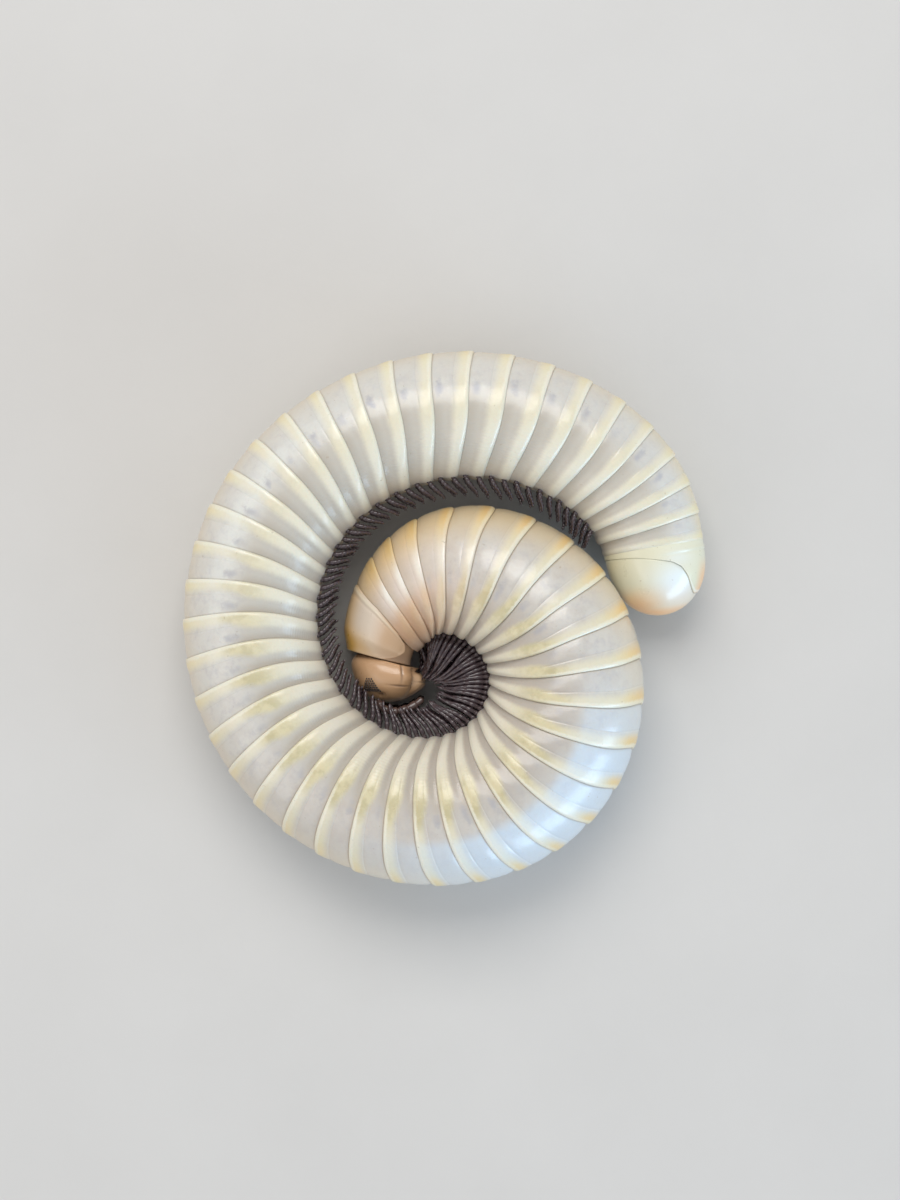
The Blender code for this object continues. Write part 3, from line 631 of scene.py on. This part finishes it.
def trunk_shell(first, last, material):
    """The shells of one length of the trunk, each ring's front tucked under the lip before it."""
    angle = np.arange(SHELL_SIDES) * 360.0 / SHELL_SIDES
    part, inner_back, outer_back, inner_belly, outer_belly = np.array(RING_RELIEF).T
    rings = np.arange(first, last + 1.0)[:, None]
    domed, wide = (1 - smooth((rings - start) / (end - start)) for start, end in (BACK_CHANGE, BELLY_CHANGE))
    dorsal = (inner_back * domed + outer_back * (1 - domed)).reshape(-1, 1)
    ventral = (inner_belly * wide + outer_belly * (1 - wide)).reshape(-1, 1)
    flank = off_back(angle) / 180
    weight = smooth((flank - 0.30) / 0.42)
    evened = 1 - 0.55 * smooth((flank - 0.74) / 0.2)
    factor = dorsal * (1 - weight) + (1 - (1 - ventral) * evened) * weight
    points = BODY.skin(BODY.ring_turn((rings - 1 + part).reshape(-1, 1), angle), angle, factor)
    light = [0.0] * (len(part) - len(FRONT_DARK) - len(HIND_DARK))
    values = {
        "along": np.tile(1 - part, len(rings))[:, None],
        "flank": flank,
        "ring": np.repeat(rings, len(part))[:, None],
        "depth": np.tile([*FRONT_DARK, *light, *HIND_DARK], len(rings))[:, None],
    }
    data = grid_mesh(f"shell_{first:02d}_{last:02d}", points, values)
    add_piece(data.name, data, material, [f"trunk_rings_{first:02d}_{last:02d}"])


# Legs along the body: turn, angle from the belly's normal towards the tail, length of the leg
LEG_LINE = (
    (40, -50, 2.0),
    (70, -32, 2.6),
    (100, 4, 3.5),
    (140, 14, 3.9),
    (180, 22, 3.9),
    (220, 33, 3.7),
    (250, 42, 3.3),
    (275, 47, 2.8),
    (300, 48, 2.3),
    (330, 47, 1.9),
    (380, 45, 1.75),
    (450, 45, 1.75),
    (500, 45, 1.5),
)
# Places of a leg's joints over its length, the last stretch being the claw
LEG_JOINTS = (0.0, 0.13, 0.31, 0.49, 0.65, 0.81, 0.94, 1.0)
LEG_THICK = 0.37
CLAW_THICK = 0.15
LEG_STEPS = 43
LEG_SIDES = 10
# Where a leg leaves the body: degrees from the mid belly, and depth over the radius
LEG_ROOT_ANGLE = 9
LEG_ROOT_FACTOR = 0.95
# Places of the pairs over a ring: one pair on the first leg rings, two behind them
LAST_ONE_PAIR_RING = 4
ONE_PAIR = (0.5,)
TWO_PAIRS = (0.27, 0.77)


def jointed_tube(points, radii, joints, sides=LEG_SIDES):
    """Rings of points round a line, and a value that marks the joints."""
    ahead = np.gradient(points, axis=0)
    ahead /= np.linalg.norm(ahead, axis=1)[:, None]
    across = np.cross(ahead[0], UP)
    across /= np.linalg.norm(across)
    turn = np.arange(sides) * math.tau / sides
    rows = []
    for point, way, radius in zip(points, ahead, radii):
        across = across - way * across.dot(way)
        across /= np.linalg.norm(across)
        beside = np.cross(way, across)
        rows.append(point + radius * (np.cos(turn)[:, None] * across + np.sin(turn)[:, None] * beside))
    return np.array(rows), np.repeat(np.array(joints)[:, None], sides, 1)


def leg_tube(turn, side, rng):
    """One leg, six joints and a claw, from the belly into the hollow of the coil."""
    turns, sweeps, lengths = zip(*LEG_LINE)
    sweep = math.radians(np.interp(turn, turns, sweeps) + rng.uniform(-5, 5))
    length = float(np.interp(turn, turns, lengths)) * rng.uniform(0.93, 1.06)
    root = BODY.skin(np.array([turn]), np.array([180.0 - side * LEG_ROOT_ANGLE]), LEG_ROOT_FACTOR)[0]
    _, back, tail, _ = BODY.frame_at(turn)
    rise = rng.uniform(0.14, 0.24) * side
    points, lifts, radii, marks = [root], [], [], []
    for t in np.linspace(0, 1, LEG_STEPS):
        bend = sweep * (0.45 + 0.55 * smooth(t / 0.7)) - 0.35 * smooth((t - 0.55) / 0.45)
        way = math.sin(bend) * tail - math.cos(bend) * back
        points.append(points[-1] + way * length / (LEG_STEPS - 1))
        lifts.append(rise * math.sin(math.pi * min(t * 1.15, 1.0)) - side * 0.30 * t * t)
        joint = max(k for k, place in enumerate(LEG_JOINTS[:-1]) if t >= place)
        part = (t - LEG_JOINTS[joint]) / (LEG_JOINTS[joint + 1] - LEG_JOINTS[joint])
        pinch = hill(min(part, 1 - part) / 0.12)
        swell = 0.88 + 0.17 * smooth(part / 0.8) - 0.20 * pinch
        thick = LEG_THICK / 2 * (1.0 - 0.55 * t**1.3) * swell
        if joint == len(LEG_JOINTS) - 2:
            thick = LEG_THICK * CLAW_THICK * max(0.06, 1.0 - part)
        radii.append(thick)
        marks.append(pinch)
    points = [point + UP * lift * length * 0.5 for point, lift in zip(points, lifts)]
    return jointed_tube(points, radii, marks)


def leg_rows(first, last, material):
    """The legs of one length of the trunk, up to the last ring that has legs."""
    rng = random.Random(first)
    tubes = []
    for ring in range(first, min(last, LAST_LEG_RING) + 1):
        for part in ONE_PAIR if ring <= LAST_ONE_PAIR_RING else TWO_PAIRS:
            turn = float(BODY.ring_turn(ring - 1.0 + part, 180.0))
            tubes += [leg_tube(turn, side, rng) for side in (1, -1)]
    data = merged(f"legs_{first:02d}_{last:02d}", tubes)
    add_piece(data.name, data, material)


COLLUM_FRONT = 10.0
COLLUM_SIDES = 240
NECK_FACTOR = 0.87
COLLUM_EDGE_STEP = 0.10
# The collum's lower edge: place over its length, degrees from the mid back
COLLUM_OUTLINE = (
    (0.0, 84),
    (0.1, 103),
    (0.25, 114),
    (0.45, 120),
    (0.7, 122),
    (0.85, 119.5),
    (0.94, 113),
    (1.0, 99),
)
# Rows of its hollow front lip and of its tucked hind edge: place over its length, fall over the radius
COLLUM_LIP = (
    (0.15, 0.17),
    (0.12, 0.115),
    (0.07, 0.09),
    (0.03, 0.075),
    (0.008, 0.06),
    (0.0, 0.045),
    (0.0, 0.028),
    (0.003, 0.012),
    (0.012, 0.004),
    (0.025, 0.001),
    (0.045, 0.0),
)
COLLUM_HIND = (
    (0.95, 0.001),
    (0.965, 0.003),
    (0.98, 0.007),
    (0.99, 0.012),
    (0.996, 0.03),
    (0.994, 0.045),
    (0.98, 0.05),
    (0.965, 0.055),
)
# Collum rows that fall further than this take painted shade
DARK_FALL = 0.035


def collum(material):
    """The collar plate with its rim line and lobes, over the neck."""
    outline = natural_cubic(*zip(*COLLUM_OUTLINE))
    angle = np.arange(COLLUM_SIDES) * 360.0 / COLLUM_SIDES
    flank = off_back(angle)
    pitch = BODY.edges[1] - BODY.edges[0]
    high = 1 - smooth((flank - 75) / 35)
    middle = [(step, 0.0) for step in np.linspace(0.07, 0.93, 44)]
    fields = {"edge": [], "tint": [], "lobe_tint_and_sky_sheen": [], "depth": []}
    rows = []
    for step, drop in (*COLLUM_LIP, *middle, *COLLUM_HIND):
        turn = COLLUM_FRONT + step * (COLLUM_EDGE - COLLUM_FRONT)
        turn = turn + pitch * BODY.bow(1.0, angle) * smooth((step - 0.15) / 0.85)
        above = outline(step) - flank
        cover = smooth(above / 6 + 0.5)
        plate = 1.0 - COLLUM_EDGE_STEP * (1 - smooth(step / 0.35)) - drop
        rim = 0.005 * hill((above - 4.5) / 2.2) - 0.003 * hill((above - 9.5) / 2.0)
        bead = 0.008 * hill((step - 0.925) / 0.022) - 0.009 * hill((step - 0.865) / 0.022)
        factor = NECK_FACTOR - drop + (plate - NECK_FACTOR + drop + rim + bead * high) * cover
        rows.append(BODY.skin(turn, angle, factor))
        # Painted highlight on the bead by the hind edge
        fields["edge"].append(high * cover * 0.55 * hill((step - 0.93) / 0.03))
        crown = (1 - smooth((flank - 6) / 36)) * (0.75 - 0.3 * step)
        corner = hill((flank - 30) / 30, (step - 0.14) / 0.22)
        fields["tint"].append(np.clip(crown + 0.7 * corner, 0, 1))
        lobe = smooth((flank - 52) / 36) * (0.7 + 0.3 * smooth(step / 0.6))
        brim = 0.6 * (1 - smooth(step / 0.3)) * smooth((flank - 35) / 25)
        fields["lobe_tint_and_sky_sheen"].append(np.maximum(lobe, brim))
        # Painted shade on the neck below the plate and in its hollow lip and tucked hind edge
        fields["depth"].append((1 - cover) * 0.14 + (0.5 if drop > DARK_FALL else 0.0))
    data = grid_mesh("collum_plate", np.array(rows), fields)
    add_piece(data.name, data, material, ["collum"])


# The head's half length, half height and half width, its place before the collum and its bend
HEAD_HALF = (1.85, 2.35, 2.5)
HEAD_FLEX = 12.0
HEAD_LEAD = 1.05
HEAD_DROP = 0.9
HEAD_ROWS = 176
HEAD_SIDES = 288
# The head's back is pressed flat before the collum, and reaches into its hollow within a share of the radius
NECK_GAP = 0.07
NECK_DEPTH = 0.3
NECK_REACH = 0.68
# Swellings and hollows: height, angle from the brow and its width, angle from the crown and its width
HEAD_FORMS = (
    (0.42, 94, 28, 117, 20),
    (0.34, 76, 20, 180, 30),
    (-0.50, 103, 8, 180, 42),
    (0.30, 124, 14, 180, 36),
    (-0.34, 84, 26, 144, 9),
    (-0.16, 45, 11, 75, 14),
    (-0.10, 60, 40, 0, 9),
)
# Finer forms: groove above the lip, lip teeth and notch, seams of the mandibles and of the brow, sockets of
# the feelers, and the back of the crown under the collum
HEAD_FINE = (
    (-0.05, 80, 1.8, 180, 30),
    (0.05, 97, 2.2, 180, 30),
    (-0.10, 97, 3.0, 180, 5),
    (0.05, 98, 2.0, 172, 2.2),
    (0.05, 98, 2.0, 180, 1.8),
    (-0.08, 84, 24, 143, 2.2),
    (-0.06, 104, 24, 112, 1.8),
    (-0.06, 72, 2.2, 112, 16),
    (-0.05, 50, 40, 0, 1.5),
    (-0.10, 45, 5.0, 75, 7),
    (0.55, 122, 26, 0, 62),
)


def head_place():
    """Middle of the head, and its directions ahead, to the crown and to the left side."""
    centre, back, tail, _ = BODY.frame_at(COLLUM_FRONT)
    turn = np.array(Matrix.Rotation(math.radians(HEAD_FLEX), 3, "Z"))
    return centre - tail * HEAD_LEAD - back * HEAD_DROP, turn @ -tail, turn @ back, UP


def form_share(form, tilt, around):
    """Share of a form's height at angles from the brow and from the crown."""
    _, at_tilt, wide_tilt, at_around, wide_around = form
    return hill((tilt - at_tilt) / wide_tilt, (off_back(around) - at_around) / wide_around)


def head_skin(tilt, around, forms=HEAD_FORMS):
    """Points of the head in its own frame, for arrays of angles from the brow and from the crown."""
    a, b = np.radians(tilt), np.radians(around)
    lift = 1 + sum(form[0] / HEAD_HALF[2] * form_share(form, tilt, around) for form in forms)
    fore = HEAD_HALF[0] * np.cos(a) * np.ones_like(b)
    crown = HEAD_HALF[1] * np.sin(a) * np.cos(b)
    left = HEAD_HALF[2] * np.sin(a) * np.sin(b)
    return np.stack([fore, crown, left], -1) * lift[..., None]


def head_world(local):
    """Points of the head's own frame in the scene's."""
    centre, ahead, up, side = head_place()
    return centre + local[..., :1] * ahead + local[..., 1:2] * up + local[..., 2:3] * side


def head(material):
    """The head capsule, with its back under the collum and painted shade in its seams."""
    tilt = np.linspace(1.0, 176.0, HEAD_ROWS)[:, None]
    around = (np.arange(HEAD_SIDES) * 360.0 / HEAD_SIDES)[None, :]
    points = head_world(head_skin(tilt, around, HEAD_FORMS + HEAD_FINE))
    centre, _, tail, radius = BODY.frame_at(COLLUM_FRONT)
    behind = (points - centre) @ tail
    past = np.maximum(behind + NECK_GAP, 0)
    beside = np.linalg.norm(points - centre - behind[..., None] * tail, axis=-1)
    inward = smooth((radius * NECK_REACH - beside) / 0.3)
    points = points - (past - np.minimum(past, NECK_DEPTH) * inward)[..., None] * tail
    pale = smooth((off_back(around) - 120) / 40) * smooth((tilt - 50) / 30)
    seams = [form_share(form, tilt, around) for form in HEAD_FINE if form[0] < 0]
    values = {"tint": pale * 0.7, "edge": 0.0, "depth": np.max(seams, 0) * 0.8}
    data = grid_mesh("head_capsule", points, values)
    add_piece(data.name, data, material, ["head"])


# Middle of an eye and the pitch of its lenses, in degrees from the brow and from the crown
EYE_PLACE = (66.0, 58.0)
OCELLI_PITCH = (4.6, 4.4)
OCELLI_ROWS = 7
MIDDLE_ROW = 2.2
# A lens: its radius, then heights and radii over that
OCELLUS_SIZE = 0.075
OCELLUS_HEIGHTS = (-0.6, 0.0, 0.35, 0.62, 0.82, 0.93, 0.97)
OCELLUS_RADII = (1.0, 1.0, 0.94, 0.78, 0.52, 0.27, 0.03)
OCELLUS_SIDES = 12


def eye(name, side, material):
    """A three-cornered field of small round lenses."""
    tubes = []
    for row in range(OCELLI_ROWS):
        count = OCELLI_ROWS - row + 2
        for k in range(count):
            tilt = EYE_PLACE[0] + (row - MIDDLE_ROW) * OCELLI_PITCH[0]
            around = EYE_PLACE[1] + (k - (count - 1) / 2) * OCELLI_PITCH[1]
            tilts, arounds = np.array([(tilt, around), (tilt + 1, around), (tilt, around + 1)]).T
            spot, lower, beside = head_skin(tilts, arounds)
            out = np.cross(lower - spot, beside - spot)
            out /= np.linalg.norm(out)
            out *= 1 if out.dot(spot) > 0 else -1
            local = [spot + out * OCELLUS_SIZE * height for height in OCELLUS_HEIGHTS]
            radii = [OCELLUS_SIZE * radius for radius in OCELLUS_RADII]
            world = head_world(np.array(local) * np.array([1, 1, side]))
            tubes.append(jointed_tube(world, radii, [0.0] * len(radii), OCELLUS_SIDES))
    data = merged("ocelli_" + name, tubes)
    add_piece(data.name, data, material, ["eye_" + name])


# Joints of a feeler in the head's frame: ahead, towards the crown, to the left, thickness
ANTENNA_PATH = (
    (1.72, 0.5, 1.72, 0.5),
    (2.05, 0.35, 1.95, 0.54),
    (2.33, -0.15, 2.05, 0.58),
    (2.35, -0.8, 1.95, 0.6),
    (2.15, -1.45, 1.8, 0.62),
    (1.8, -2.05, 1.65, 0.6),
    (1.4, -2.5, 1.55, 0.42),
)
ANTENNA_STEPS = 12
ANTENNA_SIDES = 20


def antenna(name, side, material):
    """A feeler whose joints widen from a narrow root, with a rounded tip."""
    *courses, thick = zip(*ANTENNA_PATH)
    knots = np.arange(len(ANTENNA_PATH))
    last = len(knots) - 1
    steps = np.linspace(0, last, last * ANTENNA_STEPS + 1)
    local = np.stack([natural_cubic(knots, course)(steps) for course in courses], 1) * np.array([1, 1, side])
    radii, marks = [], []
    for step in steps:
        part = step - math.floor(step)
        pinch = hill(min(part, 1 - part) / 0.09)
        swell = 0.80 + 0.20 * smooth(part / 0.75)
        size = np.interp(step, knots, thick) / 2 * (swell - 0.10 * pinch)
        if step > last - 0.25:
            size *= math.sqrt(max(0.02, (last - step) / 0.25))
        radii.append(size)
        marks.append(pinch)
    data = merged(name + "_joints", [jointed_tube(head_world(local), radii, marks, ANTENNA_SIDES)])
    add_piece(data.name, data, material, [name])


TAIL_LENGTH = 4.6
TAIL_FULLNESS = 2.5
# The telson's rim seen from the side: distance from the axis towards the back, distance past the last ring
RIM_LINE = (
    (-6.0, 0.2),
    (-3.2, 0.2),
    (-1.56, 0.4),
    (-0.45, 0.69),
    (0.8, 1.06),
    (1.45, 1.5),
    (1.8, 2.2),
    (1.95, 3.0),
    (2.1, 3.45),
    (6.0, 3.6),
)
# The telson starts before the last ring's edge. Rows of its first edge and rim: place, fall over the radius
TELSON_START = -0.35
TELSON_ROOT = ((0.0, 0.05),)
TELSON_RIM = (
    (0.95, -0.003),
    (0.965, -0.006),
    (0.98, -0.006),
    (0.99, -0.003),
    (0.997, 0.003),
    (1.0, 0.010),
    (1.0, 0.028),
    (0.99, 0.05),
    (0.97, 0.06),
)
TELSON_SIDES = 300
RIM_HALVINGS = 40
RIM_SMOOTHINGS = 6
VALVE_INSET = 0.97
VALVE_SIDES = 150
VALVE_WALL = 0.25
# Half the slit between the valves
SLIT_HALF = 0.05


def tail_points(past, phi, inset):
    """Points and radii of the tail cap, for arrays of distance past the last ring and angle round it."""
    centre, back, tail, radius = BODY.frame_at(LAST_EDGE)
    size = radius * inset * cap_share(past)
    around = np.cos(phi)[..., None] * back + np.sin(phi)[..., None] * UP
    point = centre + past[..., None] * tail + size[..., None] * around
    point[..., 2] = np.maximum(point[..., 2], 0.0)
    return point, size


def cap_share(past):
    """The tail cap's radius over the last ring's, for an array of distances past that ring."""
    return (1 - np.clip(past / TAIL_LENGTH, 0, 1) ** TAIL_FULLNESS) ** 0.5


def rim_past(phi):
    """Distance past the last ring where the telson's rim crosses the cap, for an array of angles."""
    radius = BODY.frame_at(LAST_EDGE)[3]
    backs, pasts = zip(*RIM_LINE)
    low, high = np.zeros_like(phi), np.full_like(phi, TAIL_LENGTH)
    for _ in range(RIM_HALVINGS):
        mid = (low + high) / 2
        before = mid < np.interp(radius * cap_share(mid) * np.cos(phi), backs, pasts)
        low, high = np.where(before, mid, low), np.where(before, high, mid)
    line = (low + high) / 2
    for _ in range(RIM_SMOOTHINGS):
        line = (np.roll(line, 1) + 2 * line + np.roll(line, -1)) / 4
    return line


def telson(material):
    """The tail ring up to its raised rim, with low folds behind the last ring."""
    phi = np.arange(TELSON_SIDES) * math.tau / TELSON_SIDES
    line = rim_past(phi)
    outward = np.cos(phi)
    marked = smooth((outward + 0.1) / 0.7)
    middle = [(step, 0.0) for step in np.linspace(0.0, 0.93, 48)[1:]]
    fields = {"edge": [], "tint": [], "lobe_tint_and_sky_sheen": [], "depth": []}
    rows = []
    for step, drop in (*TELSON_ROOT, *middle, *TELSON_RIM):
        past = TELSON_START + step * (line - TELSON_START)
        fold = 0.010 * hill((past - 0.42) / 0.13) - 0.007 * hill((past - 0.62) / 0.08)
        fold = fold * smooth((outward + 0.5) / 0.8) * smooth((line - 0.6) / 0.6)
        point, _ = tail_points(past, phi, 1.0 - drop * (0.3 + 0.7 * marked) + fold)
        rows.append(point)
        # Painted highlight on the raised rim's outer side
        fields["edge"].append(0.8 * marked * hill((step - 0.975) / 0.018))
        fields["tint"].append(smooth((outward - 0.72) / 0.28) * smooth((past - 0.9) / 1.6))
        # Painted sky reflection above the middle of the ring
        fields["lobe_tint_and_sky_sheen"].append(0.5 * hill((outward - 0.35) / 0.3, (past - 0.9) / 0.7))
        # Painted shade where the rim falls in
        fields["depth"].append((0.6 if drop > 0.03 else 0.0) * (0.2 + 0.8 * marked))
    data = grid_mesh("telson_ring", np.array(rows), fields)
    add_piece(data.name, data, material, ["telson"])


def anal_valve(name, side, material):
    """One of the two domed valves that close the tail, with a painted highlight along the edge where they
    meet.
    """
    phi = np.radians(np.linspace(0.5, 179.5, VALVE_SIDES)) * side
    whole = np.arange(361) * math.tau / 360
    line = np.interp(phi % math.tau, whole, rim_past(whole))
    _, _, tail, radius = BODY.frame_at(LAST_EDGE)
    outward = np.cos(phi)
    marked = smooth((outward + 0.1) / 0.7)
    fields = {"edge": [], "tint": [], "lobe_tint_and_sky_sheen": [], "depth": []}
    rows = []
    for step in np.linspace(0, 1, 60):
        past = line + 0.02 + (TAIL_LENGTH - 0.025 - line) * math.sin(math.pi / 2 * step)
        point, size = tail_points(past, phi, VALVE_INSET + 0.018 * (1 - marked))
        off = np.abs(point[:, 2] - (radius - FLAT_DEPTH))
        point[:, 2] += side * np.maximum(SLIT_HALF - off, 0)
        rows.append(point)
        # Painted highlight along the edge where the valves meet
        fields["edge"].append(0.5 * hill((off - 0.16) / 0.12))
        across = size * outward
        hind = smooth((past - 2.0) / 2.1) * (0.3 + 0.62 * smooth((0.4 - across) / 2.4))
        fields["tint"].append(np.clip(hind + 0.6 * smooth((past - 3.9) / 0.6), 0, 1))
        # Painted sky reflection on the dome
        fields["lobe_tint_and_sky_sheen"].append(hill((across - 0.9) / 1.6, (past - 2.6) / 1.6))
        # Painted shade in the slit and at the dome's root
        fields["depth"].append(0.7 * hill(off / SLIT_HALF) + 0.3 * hill(step / 0.03) * marked)
    points = np.array(rows)
    ring = np.concatenate([points, (points - VALVE_WALL * tail)[:, ::-1]], 1)
    values = {key: np.concatenate([field, np.array(field)[:, ::-1]], 1) for key, field in fields.items()}
    data = grid_mesh(name + "_dome", ring, values)
    add_piece(data.name, data, material, [name])


def add_camera():
    """The camera straight above, at the photo's angle and scale."""
    data = bpy.data.cameras.new("camera")
    data.sensor_width = SENSOR_WIDTH
    data.lens = SENSOR_WIDTH * (CAMERA_HEIGHT - VIEW_LEVEL) / VIEW_HEIGHT
    data.clip_start = 0.001
    data.clip_end = 10.0
    camera = bpy.data.objects.new("camera", data)
    bpy.context.scene.collection.objects.link(camera)
    camera.location = (VIEW_CENTRE[0] * MM, VIEW_CENTRE[1] * MM, CAMERA_HEIGHT * MM)
    bpy.context.scene.camera = camera


def add_light(name, place, aim, size, power, colour):
    """A rectangular lamp that faces its aim."""
    data = bpy.data.lights.new(name, "AREA")
    data.shape = "RECTANGLE"
    data.size, data.size_y = size
    data.energy = power
    data.color = colour
    light = bpy.data.objects.new(name, data)
    bpy.context.scene.collection.objects.link(light)
    light.location = place
    light.rotation_mode = "QUATERNION"
    light.rotation_quaternion = (Vector(aim) - Vector(place)).to_track_quat("-Z", "Y")


def add_floor():
    """A wide pale floor, a hair below the body so that no faces coincide."""
    corners = [(x * FLOOR_HALF, y * FLOOR_HALF, 0) for x, y in ((-1, -1), (1, -1), (1, 1), (-1, 1))]
    floor = bpy.data.meshes.new("floor")
    floor.from_pydata(corners, [], [(0, 1, 2, 3)])
    thing = bpy.data.objects.new("floor", floor)
    bpy.context.scene.collection.objects.link(thing)
    g = Graph("floor")
    colour = g.mix(g.noise(g.place(), 60.0, 5.0, 0.6), (0.56, 0.55, 0.535), (0.62, 0.61, 0.595))
    floor.materials.append(g.finish(colour, 0.75, g.bump(g.noise(g.place(), 900.0), 0.00005, 0.3)))
    thing.location.z = -FLOOR_SINK


def add_studio():
    """Soft light from all round and from three lamps, and colours as they are."""
    world = bpy.data.worlds.new("studio")
    world.use_nodes = True
    sky = world.node_tree.nodes["Background"]
    sky.inputs["Color"].default_value = (0.94, 0.95, 0.97, 1.0)
    sky.inputs["Strength"].default_value = 0.60
    bpy.context.scene.world = world
    for lamp in LIGHTS:
        add_light(*lamp)
    bpy.context.scene.view_settings.view_transform = "Standard"


# Plate colours: base, tint, the colour of the mottling and of the painted highlight on rims and beads, and a
# second tint that is the collum's lobes and on the tail a painted sky reflection
COLLAR_COLOURS = ((0.67, 0.565, 0.47), (0.80, 0.47, 0.12), (0.84, 0.75, 0.58), (0.60, 0.38, 0.21))
HEAD_COLOURS = ((0.50, 0.29, 0.15), (0.64, 0.43, 0.26), (0.70, 0.52, 0.35))
TAIL_COLOURS = ((0.70, 0.68, 0.50), (0.86, 0.48, 0.22), (0.87, 0.85, 0.76), (0.76, 0.84, 0.90))


def build():
    add_camera()
    shell = shell_material()
    leg = limb_material("leg_shell", (0.022, 0.013, 0.017), (0.058, 0.036, 0.044))
    feeler = limb_material("feeler_shell", (0.05, 0.028, 0.024), (0.11, 0.065, 0.055))
    collar = plate_material("collar_shell", *COLLAR_COLOURS)
    capsule = plate_material("head_shell", *HEAD_COLOURS)
    rear = plate_material("tail_shell", *TAIL_COLOURS)
    for first in range(2, RING_COUNT + 1, RINGS_PER_LENGTH):
        last = first + RINGS_PER_LENGTH - 1
        trunk_shell(first, last, shell)
        leg_rows(first, last, leg)
    collum(collar)
    head(capsule)
    telson(rear)
    lens = eye_material()
    for side, name in ((1, "left"), (-1, "right")):
        eye(name, side, lens)
        antenna("antenna_" + name, side, feeler)
        anal_valve("anal_valve_" + name, side, rear)
    add_floor()
    add_studio()


build()
